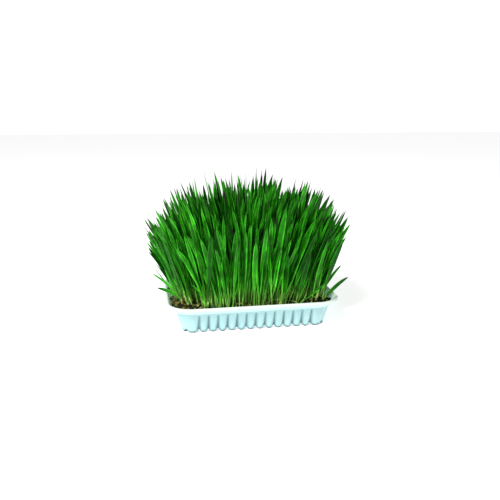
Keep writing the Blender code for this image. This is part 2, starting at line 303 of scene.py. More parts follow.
BEAD_RISE = 0.0012
BEAD_CORNER = 0.004
DENT_DEPTH = 0.0011  # of the shallow dent in the foot of each corner
DENT_NOTCH = 0.0016
DENT_WIDTH = 0.10  # as a share of the way round the corner
DENT_TOP = 0.0105
SHELL = 0.0009
FOOT_SHADE_REACH = 0.0042  # how far the painted shade spreads from the foot's edge, fading over the farther half
GROOVE_SHADE = (0.75, 0.45)  # how much painted shade there is at a groove's foot and at its top
FOLD_SHADE_REACH = 0.0008  # how far the faint painted shade under the rim spreads
# How strong the painted shade under the rim is.
FOLD_SHADE = 0.20
SAME_PLACE = 1e-6  # points nearer than this are one


def blend(one, other, share):
    return one + (other - one) * share


def half_sizes(flare):
    """Half the tray's length and width where its wall stands out this far from the foot."""
    return [ribs / 2 * RIB_PITCH + CORNER_RUN + flare for ribs in RIBS]


def groove(share, z):
    """How deep a groove is at this share of the way to the next one, from 1 down to 0. It narrows upwards."""
    return (1.0 - math.sin(math.pi * share)) ** blend(*GROOVE_SHARPNESS, min(1.0, z / WALL_HIGH))


def notch(share):
    """How high a groove's notch in the foot is there, from 1 down to 0: a plain V."""
    return max(0.0, 1.0 - min(share, 1.0 - share) / NOTCH_REACH)


print("the tray's foot is", [round(2000 * half, 1) for half in half_sizes(0.0)], "mm")


# %% Walk round the tray
def side_marks(quarter):
    """Marks along one side, each with its place and its share of the way from one groove to the next."""
    ribs = RIBS[quarter % 2]
    marks = []
    for step in range(ribs * RIB_STEPS):
        share = step / RIB_STEPS
        marks.append((quarter, "side", (share - ribs / 2) * RIB_PITCH, share % 1.0))
    return marks


def corner_marks(quarter):
    return [(quarter, "corner", step / CORNER_STEPS, 0.0) for step in range(CORNER_STEPS)]


def all_marks():
    marks = []
    for quarter in range(4):
        marks += side_marks(quarter) + corner_marks(quarter)
    return marks + marks[:1]


def straight_half(quarter, flare, corner):
    """Half the length of a side's marks, which draw together where the corners leave them little room."""
    room = half_sizes(flare)[quarter % 2] - corner
    return min(RIBS[quarter % 2] / 2 * RIB_PITCH, room)


def corner_point(quarter, share, flare, corner):
    """A point on the way round a corner, which way is inward, its share of a groove, and its dent."""
    along, out = half_sizes(flare)[quarter % 2], half_sizes(flare)[(quarter + 1) % 2]
    first = along - corner - straight_half(quarter, flare, corner)
    last = out - corner - straight_half(quarter + 1, flare, corner)
    arc = corner * math.pi / 2
    way = share * (first + arc + last)
    left = first + arc + last - way
    angle = min(max((way - first) / corner, 0.0), math.pi / 2)
    outward = Vector((math.sin(angle), -math.cos(angle), 0.0))
    point = Vector((along - corner, -(out - corner), 0.0)) + outward * corner
    point.x += min(way - first, 0.0)
    point.y += max(way - first - arc, 0.0)
    from_groove = min(way / RIB_PITCH, left / RIB_PITCH, 0.5)
    dent = max(0.0, 1.0 - ((share - 0.5) / DENT_WIDTH) ** 2)
    return point, -outward, from_groove, dent


def painted_shade(deep, row):
    """How much painted shade a point gets: most in a groove's foot and along the foot's edge, some under the
    rim.
    """
    z, flare, _, depth, _, _ = row
    in_groove = deep * depth / GROOVE_DEPTH * blend(*GROOVE_SHADE, min(1.0, z / WALL_HIGH))
    at_foot = min(1.0, max(0.0, 2.0 - 2.0 * math.hypot(flare + FOOT_INSET, z) / FOOT_SHADE_REACH))
    in_fold = FOLD_SHADE * max(0.0, 1.0 - abs(z - WALL_TOP) / FOLD_SHADE_REACH)
    return max(in_groove, at_foot, in_fold)


def tray_point(mark, row):
    """Where a point of the sheet goes, and its painted shade. A row is z, flare, corner, depth, notch and
    dent.
    """
    quarter, kind, value, share = mark
    z, flare, corner, depth, notched, dented = row
    if kind == "side":
        drawn = straight_half(quarter, flare, corner) / (RIBS[quarter % 2] / 2 * RIB_PITCH)
        point = Vector((value * drawn, -half_sizes(flare)[(quarter + 1) % 2], 0.0))
        inward, dent = Vector((0.0, 1.0, 0.0)), 0.0
    else:
        point, inward, share, dent = corner_point(quarter, value, flare, corner)
    deep = groove(share, z)
    point += inward * (deep * depth + dent * dented * DENT_DEPTH)
    point.z = z + notch(share) * notched + dent * dented * DENT_NOTCH * (1.0 if z < WALL_LOW else 0.0)
    return Matrix.Rotation(quarter * math.pi / 2, 3, "Z") @ point, painted_shade(deep, row)


print(len(all_marks()), "points round the tray")


# %% The tray's profile
def shares(steps, first=1):
    """The shares of a stretch that is gone along in this many steps, up to its end."""
    return [step / steps for step in range(first, steps + 1)]


def floor_rows():
    """From the floor's middle over the raised bead to the foot, where the grooves begin."""
    rows = []
    inner, outer = BEAD_INSETS
    for share in shares(BEAD_STEPS, 0):
        rise = BEAD_RISE * math.sin(math.pi * share) ** 2
        rows.append((rise, -FOOT_INSET - blend(inner, outer, share), BEAD_CORNER, 0.0, 0.0, 0.0))
    for share in shares(FLOOR_STEPS):
        corner = blend(BEAD_CORNER, FOOT_CORNER - FOOT_INSET, share)
        depth = GROOVE_DEPTH * DEPTH_AT_FOOT * share
        rows.append((0.0, -FOOT_INSET - outer * (1 - share), corner, depth, FOOT_NOTCH * share, share**3))
    return rows


def wall_rows():
    """Up the wall: the rounded foot, the fluted wall, and the round tops of the grooves."""
    rows = []
    for share in shares(FOOT_STEPS):
        angle = share * math.pi / 2
        z = WALL_LOW * (1 - math.cos(angle))
        flare = -FOOT_INSET * (1 - math.sin(angle))
        depth = GROOVE_DEPTH * blend(DEPTH_AT_FOOT, 1.0, share)
        rows.append((z, flare, FOOT_CORNER + flare, depth, FOOT_NOTCH * (1 - share / 2), 1.0))
    for share in shares(WALL_STEPS):
        z = blend(WALL_LOW, WALL_HIGH, share)
        flare = WALL_FLARE * WALL_HIGH / WALL_TOP * share
        corner = blend(FOOT_CORNER, WALL_CORNER, share)
        depth = GROOVE_DEPTH * blend(1.0, DEPTH_AT_TOP, share)
        rows.append((z, flare, corner, depth, FOOT_NOTCH / 2 * (1 - share), max(0.0, 1 - z / DENT_TOP)))
    for share in shares(TOP_STEPS):
        z = blend(WALL_HIGH, WALL_TOP, share)
        depth = GROOVE_DEPTH * DEPTH_AT_TOP * (1 - share**2)
        rows.append((z, WALL_FLARE * z / WALL_TOP, WALL_CORNER, depth, 0.0, 0.0))
    return rows


def rim_rows():
    """The flare, a little bowed, and the lip rolled over at its edge."""
    rows = []
    for share in shares(FLARE_STEPS):
        bow = RIM_BOW * math.sin(math.pi * share)
        flare = blend(WALL_FLARE, RIM_FLARE, share) + bow
        corner = blend(WALL_CORNER, RIM_CORNER, share)
        rows.append((blend(WALL_TOP, RIM_Z, share) - bow, flare, corner, 0.0, 0.0, 0.0))
    for share in shares(LIP_STEPS):
        angle = share * math.pi / 2
        flare = RIM_FLARE + (LIP_FLARE - RIM_FLARE) * math.sin(angle)
        z = RIM_Z - (RIM_Z - LIP_Z) * (1 - math.cos(angle))
        rows.append((z, flare, RIM_CORNER, 0.0, 0.0, 0.0))
    return rows


profile = floor_rows() + wall_rows() + rim_rows()
print(len(profile), "rows from the floor's middle to the lip")


# %% Roll the sheet into the tray
def make_tray_sheet():
    bm = bmesh.new()
    marks = all_marks()
    columns, rows = len(marks) - 1, len(profile) - 1
    # Each point keeps how much painted shade it gets.
    shade_layer = bm.verts.layers.float.new("painted_shade")
    bmesh.ops.create_grid(bm, x_segments=columns, y_segments=rows, size=0.5)
    for vert in bm.verts:
        column = round((vert.co.x + 0.5) * columns)
        row = round((vert.co.y + 0.5) * rows)
        vert.co, vert[shade_layer] = tray_point(marks[column], profile[row])
    bmesh.ops.remove_doubles(bm, verts=bm.verts, dist=SAME_PLACE)
    middle = [edge for edge in bm.edges if edge.is_boundary and edge.verts[0].co.z < WALL_LOW]
    bmesh.ops.contextual_create(bm, geom=middle)
    bmesh.ops.recalc_face_normals(bm, faces=bm.faces)
    floor_face = max(bm.faces, key=lambda face: face.calc_area())
    if floor_face.normal.z > 0:
        bmesh.ops.reverse_faces(bm, faces=bm.faces)
    return bm


# %% [markdown]
# ## The white plastic
# Food trays are a bright white plastic with a cold, faintly blue-green tint and a soft gloss. A plain
# white looks like paper, and a photograph of plastic would fit one tray only, so the finish is built up
# from four things more: slow clouding in the colour, as in any thin drawn sheet, fine scuffs that change
# only the gloss, a few specks of soil that cling near the rim, and painted shade, which is matt. The
# sheet's own points say where the shade is painted: down the grooves, along the foot and faintly under
# the rim. A little light also passes through so thin a sheet.

# %% White plastic
PLASTIC_TINTS = ((0.30, (0.41, 0.66, 0.69)), (0.70, (0.50, 0.73, 0.74)))
# Painted light: the flare and lip are painted lighter and warmer than the walls, as where light falls on
# them.
RIM_LIGHT_TINT = (0.76, 0.88, 0.80)
RIM_LIGHT_Z = (0.0225, 0.0320)  # where the painted light on the rim begins and where it is full
SOIL_STAIN = (0.20, 0.13, 0.07)
SOIL_STAIN_Z = (0.0240, 0.0330)
# The colour of the painted shade in the grooves, along the foot and under the rim.
SHADE_COLOUR = (0.012, 0.030, 0.034)
SCUFF_STRETCH = (60.0, 60.0, 900.0)
LIGHT_REACH = 0.004  # how far light spreads inside the plastic


def make_plastic():
    material, tree, where = start_finish("white_plastic", 0.35)
    height = add_node(tree, "SeparateXYZ", {"Vector": where}).outputs["Z"]
    cloud = noise_at(tree, where, scale=38.0, detail=4.0, roughness=0.6)
    clouded = add_ramp(tree, cloud, PLASTIC_TINTS)
    # Painted light: lighter and warmer from the top of the wall up over the rim.
    rim_lit = mix_colour(tree, map_range(tree, height, RIM_LIGHT_Z), clouded, RIM_LIGHT_TINT)
    speck = noise_at(tree, where, scale=420.0, detail=3.0, roughness=0.7)
    near_rim = map_range(tree, height, SOIL_STAIN_Z)
    specks = calculate(tree, "MULTIPLY", map_range(tree, speck, (0.69, 0.74)), near_rim)
    stained = mix_colour(tree, specks, rim_lit, SOIL_STAIN)
    # Painted shade: the sheet is darkened in patches where its points call for shade, and made matt there.
    patchy = map_range(tree, cloud, target=(0.85, 1.0))
    shade_amount = calculate(tree, "MULTIPLY", read_layer_value(tree, "painted_shade"), patchy)
    shaded_colour = mix_colour(tree, shade_amount, stained, SHADE_COLOUR)
    scuff = noise_at(tree, stretched(tree, where, SCUFF_STRETCH), scale=1.0, detail=5.0)
    matt = calculate(tree, "MAXIMUM", shade_amount, map_range(tree, scuff, target=(0.26, 0.46)))
    grain = noise_at(tree, where, scale=900.0, detail=2.0)
    end_finish(tree, shaded_colour, matt, grain, strength=0.06, distance=0.0004)
    shader = tree.nodes["Principled BSDF"]
    shader.inputs["Subsurface Weight"].default_value = 0.40
    shader.inputs["Subsurface Radius"].default_value = (1.0, 1.0, 1.0)
    shader.inputs["Subsurface Scale"].default_value = LIGHT_REACH
    return material


# %% Make the tray
tray = finish_piece("tray_shell", make_tray_sheet(), make_plastic(), ["tray"])
shell = tray.modifiers.new("shell", "SOLIDIFY")
shell.thickness = SHELL
shell.offset = -1.0

# %% [markdown]
# ## The soil
# Potting soil is a dark, crumbly bed, and what shows between the stems is mostly its shadowed lumps. It
# could be sculpted by hand, but noise gives the same crumbs each time. The bed starts as a flat grid. Its
# square outline is eased into the tray's rounded one, its points are lifted by layers of noise, and its
# edge is then extruded down into the tray and closed underneath, so that it is a solid bed like the real
# one.

# %% Sizes of the soil
SOIL_EDGE_Z = 0.0262
SOIL_CROWN = 0.0016
SOIL_LUMP = 0.0007
LUMP_TURNS = (173.0, 211.0, 109.0)  # radians a metre along, across and askew
ASKEW_LUMPS = 0.6  # as a share of the others
SOIL_GRID = (170, 120)
BED_FLARE = 0.0062
BED_CORNER = 0.0198
BED_PLAIN_FROM = 0.999  # of the way out, from which the bed's edge has no crumbs
CRUMB_RISE = 0.0011
CRUMB_NOISES = ((260, 0.3), (800, 7.1), (120, 3.7))  # coarse, fine and pits: the scale and the level read
FINE_SHARE, PIT_SHARE = 0.6, 0.5
SOIL_FLOOR_Z = 0.0036
HEAP_FADE = 0.06  # of the way in from the bed's edge, over which a heap gives way
# Heaps of loose soil at the ends of the bed: place along, place across, radius and rise.
HEAPS = (
    (-0.0770, -0.0440, 0.0180, 0.0095),
    (-0.0830, -0.0150, 0.0180, 0.0060),
    (-0.0830, 0.0200, 0.0180, 0.0050),
    (0.0730, -0.0430, 0.0150, 0.0060),
    (-0.0130, -0.0510, 0.0150, 0.0042),
    (0.0200, -0.0520, 0.0120, 0.0020),
)
# The bed's edge is drawn down in steps: how far in each goes, and to what height.
BED_STEPS = ((0.0016, WALL_TOP), (0.0048, WALL_HIGH), (0.0050, SOIL_FLOOR_Z + 0.003), (0.0030, SOIL_FLOOR_Z))
bed_long, bed_wide = half_sizes(BED_FLARE)


def heap_rise(x, y):
    """How far the heaps lift the bed here. Each is a smooth mound."""
    nearest = min(1 - abs(x) / bed_long, 1 - abs(y) / bed_wide)
    fade = min(1.0, max(0.0, nearest) / HEAP_FADE)
    rise = 0.0
    for heap_x, heap_y, radius, top in HEAPS:
        away = math.hypot(x - heap_x, y - heap_y) / radius
        rise += top * max(0.0, 1 - away**2) ** 2
    return rise * fade


def soil_height(x, y):
    """The bed's plain surface: a little higher in the middle, with soft lumps and heaps."""
    half_long, half_wide = half_sizes(WALL_FLARE)
    middle = (1 - (x / half_long) ** 2) * (1 - (y / half_wide) ** 2)
    lumps = math.sin(x * LUMP_TURNS[0]) * math.sin(y * LUMP_TURNS[1])
    lumps += ASKEW_LUMPS * math.sin((x - y) * LUMP_TURNS[2])
    return SOIL_EDGE_Z + (SOIL_CROWN + SOIL_LUMP * lumps) * max(0.0, middle) + heap_rise(x, y)


def crumbly(x, y):
    """The lift that crumbs give the surface: two sizes of noise and a few deeper pits."""
    coarse, fine, pits = [noise.noise(Vector((x, y, level)) * scale) for scale, level in CRUMB_NOISES]
    return CRUMB_RISE * (coarse + FINE_SHARE * fine - PIT_SHARE * abs(pits))


def bed_point(across, along):
    """Eases a point of the square grid, from -1 to 1 each way, into the bed's rounded outline."""
    ring = max(abs(across), abs(along))
    corner = BED_CORNER * ring
    x, y = across * bed_long, along * bed_wide
    core_x = max(-bed_long * ring + corner, min(bed_long * ring - corner, x))
    core_y = max(-bed_wide * ring + corner, min(bed_wide * ring - corner, y))
    offset = Vector((x - core_x, y - core_y))
    if offset.length > corner:
        offset *= corner / offset.length
    return core_x + offset.x, core_y + offset.y


print("the bed is", round(bed_long * 2000, 1), "by", round(bed_wide * 2000, 1), "mm")


# %% Shape the bed
def extrude_rim(bm, rim, shrink, z):
    """Draws the bed's rim down to height z and inward by this much, and gives back the new rim."""
    grown = bmesh.ops.extrude_edge_only(bm, edges=rim)["geom"]
    verts = [item for item in grown if isinstance(item, bmesh.types.BMVert)]
    size = (1 - shrink / bed_long, 1 - shrink / bed_wide, 1.0)
    bmesh.ops.scale(bm, vec=size, verts=verts)
    for vert in verts:
        vert.co.z = z
    return [item for item in grown if isinstance(item, bmesh.types.BMEdge)]


def make_bed():
    bm = bmesh.new()
    bmesh.ops.create_grid(bm, x_segments=SOIL_GRID[0], y_segments=SOIL_GRID[1], size=1.0)
    for vert in bm.verts:
        ring = max(abs(vert.co.x), abs(vert.co.y))
        x, y = bed_point(vert.co.x, vert.co.y)
        lift = crumbly(x, y) if ring < BED_PLAIN_FROM else 0.0
        vert.co = (x, y, soil_height(x, y) + lift)
    rim = [edge for edge in bm.edges if edge.is_boundary]
    for shrink, z in BED_STEPS:
        rim = extrude_rim(bm, rim, shrink, z)
    bmesh.ops.contextual_create(bm, geom=rim)
    bmesh.ops.recalc_face_normals(bm, faces=bm.faces)
    return bm


# %% [markdown]
# ## The finish of soil
# Moist soil is a dark, warm brown with a scatter of pale fibres and grit. An even brown would look like
# clay. So one noise picks between the browns and also drives the bump, so that the pits are painted nearly
# black as painted shade, and a cell pattern paints shade into the gaps between crumbs.

# %% Soil material
CRUMB_GAP_SHADE = ((0.0, 0.7), (1.0, 0.35))  # painted shade in the gaps between crumbs: from a cell's middle outwards, and how dark it becomes
GRIT_FROM = (0.70, 0.76)


def make_soil_finish(name, dark, light, grit):
    """Browns from dark to light, painted darker in the pits and between crumbs as shade, and a scatter of
    grit in its own colour.
    """
    material, tree, where = start_finish(name, 0.5)
    lumps = noise_at(tree, where, scale=330.0, detail=6.0, roughness=0.7)
    middle = tuple((a + b) / 2 for a, b in zip(dark, light))
    # Painted shade: the noise that lifts the bump also picks the brown, so the pits are dark.
    browns = add_ramp(tree, lumps, [(0.34, dark), (0.52, middle), (0.72, light)])
    # Painted shade in the gaps between crumbs.
    cells = add_node(tree, "TexVoronoi", {"Vector": where, "Scale": 620.0}).outputs["Distance"]
    crumbs = mix_colour(tree, 1.0, browns, map_range(tree, cells, *CRUMB_GAP_SHADE), "MULTIPLY")
    fibre = noise_at(tree, where, scale=1500.0, detail=1.0)
    colour = mix_colour(tree, map_range(tree, fibre, GRIT_FROM), crumbs, grit)
    wet = map_range(tree, lumps, target=(0.75, 1.0))
    end_finish(tree, colour, wet, lumps, strength=0.8, distance=0.0012)
    return material


# %% Make the bed
SOIL_BROWNS = ((0.007, 0.007, 0.002), (0.085, 0.066, 0.020), (0.26, 0.22, 0.09))  # dark, light and grit

finish_piece("soil_bed", make_bed(), make_soil_finish("dark_soil", *SOIL_BROWNS), ["soil"])

# %% [markdown]
# ## Reading the blades of the plain model
# The plain model's blades are three-sided and have few bends, but they stand where they should. Smoothing
# them would keep their coarse form, so each is read back from its tuft instead: from the pointed tip down,
# layer by layer, each layer a triangle of two margins and a keel. That gives its middle line, its width and
# which way it faces at five places, and a finer blade can follow them.

# %% Read the blades back
LAYER_SHARES = (0.77, 0.44, 0.17)  # of the blade's length, from the tip down
TIP_CLEAR = 0.015  # the least height of a tip above its tuft's foot


def next_layer(layer, seen):
    """The points joined to this layer that haven't been met yet."""
    found = {edge.other_vert(vert) for vert in layer for edge in vert.link_edges}
    return [vert for vert in found if vert not in seen]


def read_layer(points, side_before):
    """The middle, the direction across, the direction away from the keel, and half the width."""
    pairs = [(points[i], points[(i + 1) % 3], points[(i + 2) % 3]) for i in range(3)]
    left, right_margin, keel = max(pairs, key=lambda p: (p[0].co - p[1].co).length)
    across = right_margin.co - left.co
    if across.dot(side_before) < 0:
        across.negate()
    middle = (left.co + right_margin.co) / 2
    face = (middle - keel.co).normalized()
    return middle, across.normalized(), face, across.length / 2


# %% Read whole blades
def read_blade(tip):
    """A blade's knots from its root to its tip: share of the length, middle, across, face and half width."""
    seen, layer, knots = {tip}, [tip], []
    side = Vector((1.0, 0.0, 0.0))
    for share in LAYER_SHARES:
        layer = next_layer(layer, seen)
        seen.update(layer)
        middle, side, face, half = read_layer(layer, side)
        knots.insert(0, (share, middle, side, face, half))
    low, above = knots[0], knots[1]
    root = low[1] + (low[1] - above[1]) * low[0] / (above[0] - low[0])
    knots.insert(0, (0.0, root, *low[2:]))
    knots.append((1.0, tip.co.copy(), *knots[-1][2:]))
    return knots


def is_tip(vert, foot):
    """True if three edges run down from this point, and it is well above its tuft's foot."""
    lower = all(edge.other_vert(vert).co.z < vert.co.z for edge in vert.link_edges)
    return lower and len(vert.link_edges) == 3 and vert.co.z >= foot + TIP_CLEAR


def read_blades(node):
    bm = bmesh.new()
    bm.from_mesh(node.data)
    bmesh.ops.remove_doubles(bm, verts=bm.verts, dist=SAME_PLACE)
    foot = min(vert.co.z for vert in bm.verts)
    blades = [read_blade(vert) for vert in bm.verts if is_tip(vert, foot)]
    bm.free()
    return blades


tuft_names = sorted(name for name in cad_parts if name.startswith("sprouts_"))
tuft_blades = {name: read_blades(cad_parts[name]) for name in tuft_names}
main_blades = [knots for blades in tuft_blades.values() for knots in blades]
print(len(main_blades), "blades in", len(tuft_names), "tufts")

# %% [markdown]
# ## One strand, bent many ways
# A wheatgrass blade begins as a round pale stem, opens into a channel, broadens to a flat leaf with a rib
# down its middle, and runs out in a point. A root is simpler: a thin tube that tapers. A curve with a
# bevel would make a tube of each, but not a folded leaf. So each kind has a template, a straight tube of
# rings drawn to a point, and a table says how wide, thick and folded each ring will be. Copies of the
# template are then bent along their own curved middle lines. The templates stay light, because they are
# copied many hundreds of times.

# %% Tables along a strand: share of length, share of width, thickness in mm, and how far the sides fold up
BLADE = (
    (0.00, 0.29, 1.40, 0.00),
    (0.07, 0.28, 1.35, 0.00),
    (0.16, 0.30, 1.20, 0.05),
    (0.25, 0.40, 0.90, 0.45),
    (0.33, 0.60, 0.60, 0.60),
    (0.42, 0.86, 0.45, 0.42),
    (0.52, 1.00, 0.42, 0.28),
    (0.63, 1.00, 0.40, 0.23),
    (0.74, 0.91, 0.38, 0.20),
    (0.84, 0.77, 0.34, 0.18),
    (0.93, 0.48, 0.28, 0.12),
    (1.00, 0.00, 0.20, 0.00),
)
CREASED_FROM = 0.3  # share of a blade's length from which its margins and rib are crisp


def plain_strand(steps, narrowing, thick, thinning):
    """The table of a round strand, which narrows and thins by the same amount at each step."""
    return tuple((i / steps, 1.0 - narrowing * i, thick - thinning * i, 0.0) for i in range(steps + 1))


ROOT = plain_strand(6, narrowing=0.11, thick=0.5, thinning=0.05)
SHOOT = plain_strand(9, narrowing=0.06, thick=1.5, thinning=0.08)


# %% The templates
def make_template(name, table, sides, creased_from=math.inf):
    """A straight tube up the Z axis, from 0 to 1, with its place across and along kept in a UV map."""
    bm = bmesh.new()
    turn = Matrix.Rotation(math.pi / sides, 4, "Z")
    bmesh.ops.create_circle(bm, segments=sides, radius=1.0, cap_ends=True, matrix=turn)
    ring = list(bm.edges)
    for low, high in zip(table, table[1:]):
        grown = bmesh.ops.extrude_edge_only(bm, edges=ring)["geom"]
        verts = [item for item in grown if isinstance(item, bmesh.types.BMVert)]
        bmesh.ops.translate(bm, verts=verts, vec=(0.0, 0.0, high[0] - low[0]))
        ring = [item for item in grown if isinstance(item, bmesh.types.BMEdge)]
    bmesh.ops.pointmerge(bm, verts=verts, merge_co=(0.0, 0.0, 1.0))
    bmesh.ops.recalc_face_normals(bm, faces=bm.faces)
    for edge in bm.edges:
        lower, upper = sorted(vert.co.z for vert in edge.verts)
        edge.smooth = upper - lower < SAME_PLACE or lower <= creased_from
    uv = bm.loops.layers.uv.new("blade")
    for face in bm.faces:
        for loop in face.loops:
            loop[uv].uv = (0.5 + loop.vert.co.x / 2, loop.vert.co.z)
    mesh = bpy.data.meshes.new(name)
    bm.to_mesh(mesh)
    bm.free()
    return {"mesh": mesh, "table": table, "margin": math.cos(math.pi / sides) if sides % 2 == 0 else 1.0}


blade_form = make_template("blade_form", BLADE, 6, CREASED_FROM)
root_form = make_template("root_form", ROOT, 3)
shoot_form = make_template("shoot_form", SHOOT, 6)
for form in (blade_form, root_form, shoot_form):
    print(form["mesh"].name, "has", len(form["mesh"].polygons), "faces")


# %% Bend a copy
SAME_SHARE = 1e-6  # shares of a length nearer than this are one


def between_knots(knots, share):
    """The middle line, direction across and direction of the face at this share of a strand's length."""
    last = len(knots) - 1
    i = max(k for k in range(last) if knots[k][0] <= share + SAME_SHARE)
    one, other = knots[i], knots[i + 1]
    before, after = knots[max(i - 1, 0)], knots[min(i + 2, last)]
    gap = other[0] - one[0]
    t = (share - one[0]) / gap
    start = (other[1] - before[1]) / max(other[0] - before[0], SAME_SHARE) * gap
    end = (after[1] - one[1]) / max(after[0] - one[0], SAME_SHARE) * gap
    middle = (
        one[1] * (2 * t**3 - 3 * t**2 + 1)
        + start * (t**3 - 2 * t**2 + t)
        + other[1] * (3 * t**2 - 2 * t**3)
        + end * (t**3 - t**2)
    )
    across = one[2].lerp(other[2], t).normalized()
    face = one[3].lerp(other[3], t).normalized()
    return middle, across, face


def half_width(knots):
    """Half the strand's width where it is widest."""
    return max(knot[4] for knot in knots)


HALF_MM = 0.0005
SLIM_THINNING = 1.1  # a slim blade is this much thicker for its width, and never thicker than the table's


# %% Grow a strand
def grow(bm, form, knots, tone, dry=0.0, slim=1.0):
    """Copies a template into bm and bends the copy along the knots."""
    known = len(bm.verts)
    bm.from_mesh(form["mesh"])
    bm.verts.ensure_lookup_table()
    half = half_width(knots) * slim
    half_mm = HALF_MM * min(1.0, slim * SLIM_THINNING)
    rings = {row[0]: (row, between_knots(knots, row[0])) for row in form["table"]}
    tone_layer, dry_layer = bm.verts.layers.float["tone"], bm.verts.layers.float["dry"]
    for vert in bm.verts[known:]:
        ring = min(rings, key=lambda share: abs(share - vert.co.z))
        (_, width, thick, fold), (middle, across, face) = rings[ring]
        reach = vert.co.x / form["margin"] * half * width
        lift = vert.co.y * thick * half_mm + abs(reach) * fold
        vert.co = middle + across * reach + face * lift
        vert[tone_layer] = tone
        vert[dry_layer] = dry


def start_growth():
    """An empty bmesh that keeps a tone and a dryness for each strand."""
    bm = bmesh.new()
    bm.verts.layers.float.new("tone")
    bm.verts.layers.float.new("dry")
    return bm


# %% [markdown]
# ## Seedlings between the blades
# A tray like this holds well over a thousand seedlings, far more than the plain model's blades. Hair
# particles could fill in the others, but they don't survive an export, so these are pieces too. They follow
# the same rule as the blades: they lean out from the middle of the bed, a little at random, and those at
# the edge are shorter. Their tips have to stay inside a low dome, a little short of the one that the plain
# model's blades fill, so that the broad blades still make the outline. A seedling whose tip falls outside
# is drawn again. A few are thin and withered, and these may poke out.

# %% The dome that the tips fill
DOME = (0.130, 0.098, 0.088)  # half its length, half its width and its height above its foot
DOME_FOOT_Z = 0.085
BOX_SPARE = 0.0015


def dome_share(tip):
    """How far out a tip is, as a share of the way to the dome."""
    above = max(0.0, tip.z - DOME_FOOT_Z)
    return Vector((tip.x / DOME[0], tip.y / DOME[1], above / DOME[2])).length


def length_of(knots):
    return sum((b[1] - a[1]).length for a, b in zip(knots, knots[1:]))


def in_model(point):
    """True if the point is well inside the plain model's box."""
    sides = zip(cad_low, point, cad_high)
    return all(low + BOX_SPARE < value < high - BOX_SPARE for low, value, high in sides)


tip_shares = sorted(dome_share(knots[-1][1]) for knots in main_blades)
print("the middle blade tip is", round(tip_shares[len(tip_shares) // 2], 2), "of the way to the dome")

# %% Sizes of the seedlings
SEEDLINGS = 1300
SEED = 23
ROOT_DEPTH = 0.0020
EDGE_GAP = 0.0024
LEFT_STAND = 0.11  # of the seedlings, the part that stand thick along the left end
LEFT_BAND = (-1.0, -0.80)  # where they stand, as shares of half the bed's length
LEFT_LEAN = (0.0, 0.4)  # how much further they lean out over the rim, in radians
FAN = (0.34, 0.30, 0.25)  # lean at the left end of the bed, at its right end and at its sides, in radians
LEAN_SPREAD = 0.085
ARCH = (0.02, 0.38)
TWIST = 1.1
HALF_WIDTH = (0.0012, 0.0027)
INNER_LENGTH = (0.066, 0.150, 0.112)
EDGE_LENGTH = (0.044, 0.108, 0.082)
EDGE_BAND = 0.34
KNOT_SHARES = (0.0, 0.2, 0.4, 0.6, 0.8, 1.0)
SEEDLING_REACH = 0.93  # of the way to the dome
WITHERED_REACH = 1.06
WITHERED_SHARE = 0.05
WITHERED_WIDTH = 0.0007
WITHERED_LENGTH = 1.16


def edge_share(x, y):
    """0 well inside the bed, rising to 1 at its edge."""
    nearest = min(1 - abs(x) / bed_long, 1 - abs(y) / bed_wide)
    return max(0.0, 1 - nearest / EDGE_BAND)


# %% Draw the seedlings
def seedling_knots(draw, x, y, withered, left_lean):
    """A seedling's knots: it leans out from the middle, arches over and turns as it rises."""
    fan_long = FAN[0] if x < 0 else FAN[1]
    lean = Vector((fan_long * x / bed_long, FAN[2] * y / bed_wide))
    lean += Vector((draw.gauss(0, LEAN_SPREAD) - left_lean, draw.gauss(0, LEAN_SPREAD)))
    edge = edge_share(x, y)
    length = blend(draw.triangular(*INNER_LENGTH), draw.triangular(*EDGE_LENGTH), edge)
    heading = Vector((lean.x, lean.y, 0.0)).normalized()
    arch, facing, twist = draw.uniform(*ARCH), draw.uniform(0, 2 * math.pi), draw.uniform(-TWIST, TWIST)
    half = draw.uniform(*HALF_WIDTH)
    if withered:
        length *= WITHERED_LENGTH
        half = WITHERED_WIDTH
    point = Vector((x, y, soil_height(x, y) - ROOT_DEPTH))
    knots, before = [], 0.0
    for share in KNOT_SHARES:
        angle = lean.length + arch * ((before + share) / 2) ** 2
        along = heading * math.sin(angle) + Vector((0.0, 0.0, math.cos(angle)))
        point = point + along * length * (share - before)
        before = share
        turn = facing + twist * share
        level = Vector((math.cos(turn), math.sin(turn), 0.0))
        across = (level - along * level.dot(along)).normalized()
        knots.append((share, point, across, along.cross(across), half))
    return knots


def draw_seedlings():
    """All the seedlings and whether each is withered, drawn again until the tip is inside the dome."""
    draw = random.Random(SEED)
    grown = []
    shrink = 1 - EDGE_GAP / bed_wide
    while len(grown) < SEEDLINGS:
        across, left_lean = draw.uniform(-1, 1), 0.0
        if draw.random() < LEFT_STAND:
            across, left_lean = draw.uniform(*LEFT_BAND), draw.uniform(*LEFT_LEAN)
        x, y = bed_point(across, draw.uniform(-1, 1))
        withered = draw.random() < WITHERED_SHARE
        knots = seedling_knots(draw, x * shrink, y * shrink, withered, left_lean)
        tip = knots[-1][1]
        reach = WITHERED_REACH if withered else SEEDLING_REACH
        if dome_share(tip) < reach and in_model(tip):
            grown.append((knots, withered))
    return grown


seedlings = draw_seedlings()
print(len(seedlings), "seedlings, the longest", round(1000 * max(length_of(k) for k, _ in seedlings)), "mm")

# %% [markdown]
# ## The green of the leaves
# A young leaf is pale at its foot, where the sheath saw no light, then yellow-green, then a full green
# that deepens towards the tip, and some tips have dried almost black. A gradient over the height of the
# whole tray would miss that on every leaning leaf. It runs along the blade, so it is read from the UV map
# that the template carries, and a tone that differs from blade to blade shifts it. Fine veins run the whole
# length, and give the leaf its satin look. The margins are thin, and they are painted paler than the
# middle, a painted highlight for the light that comes through them.

